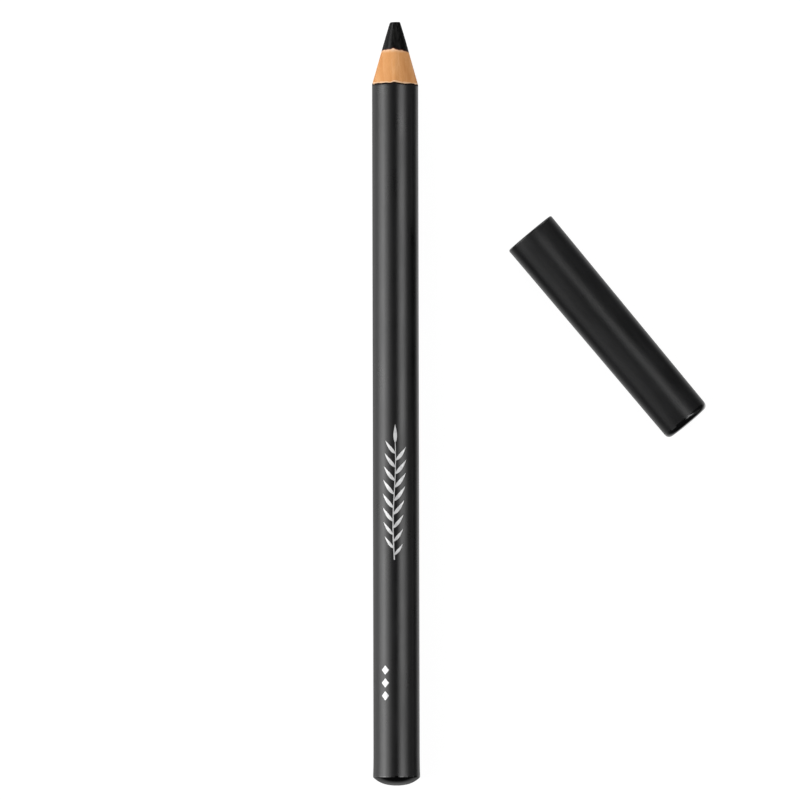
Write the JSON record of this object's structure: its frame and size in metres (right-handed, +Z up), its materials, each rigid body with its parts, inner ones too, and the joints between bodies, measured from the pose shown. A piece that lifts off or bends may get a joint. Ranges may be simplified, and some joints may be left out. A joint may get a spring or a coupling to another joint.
{
  "type": "eyeliner pencil",
  "caption": "Round lacquered wooden eyeliner pencil, sharpened to a blunt cone, with a domed glossy end; its slim drafted cap lies beside it with ribs inside its bore.",
  "frame": {"origin": "centre of the object's bounding box across and along, at the surface that the pencil and its cap lie on", "axes": "+Y along the pencil, towards its sharpened tip; +Z up; +X to the side on which the cap lies"},
  "size_m": [0.0552, 0.1264, 0.0091],
  "materials": {
    "wood_casing": "bare soft wood, cut by a sharpener, with fine lengthwise grain",
    "waxy_core": "black wax and pigment, dull sheen, sharpening streaks",
    "satin_lacquer": "satin black lacquer",
    "gloss_dip": "gloss black dip",
    "cap_plastic": "satin black moulded plastic, glossy closed end"
  },
  "bodies": {
    "root": {"upper_wood_half": "wood_casing", "lower_wood_half": "wood_casing", "liner_core": "waxy_core", "barrel_lacquer": "satin_lacquer", "dipped_end": "gloss_dip", "cap": "cap_plastic"}
  },
  "joints": []
}
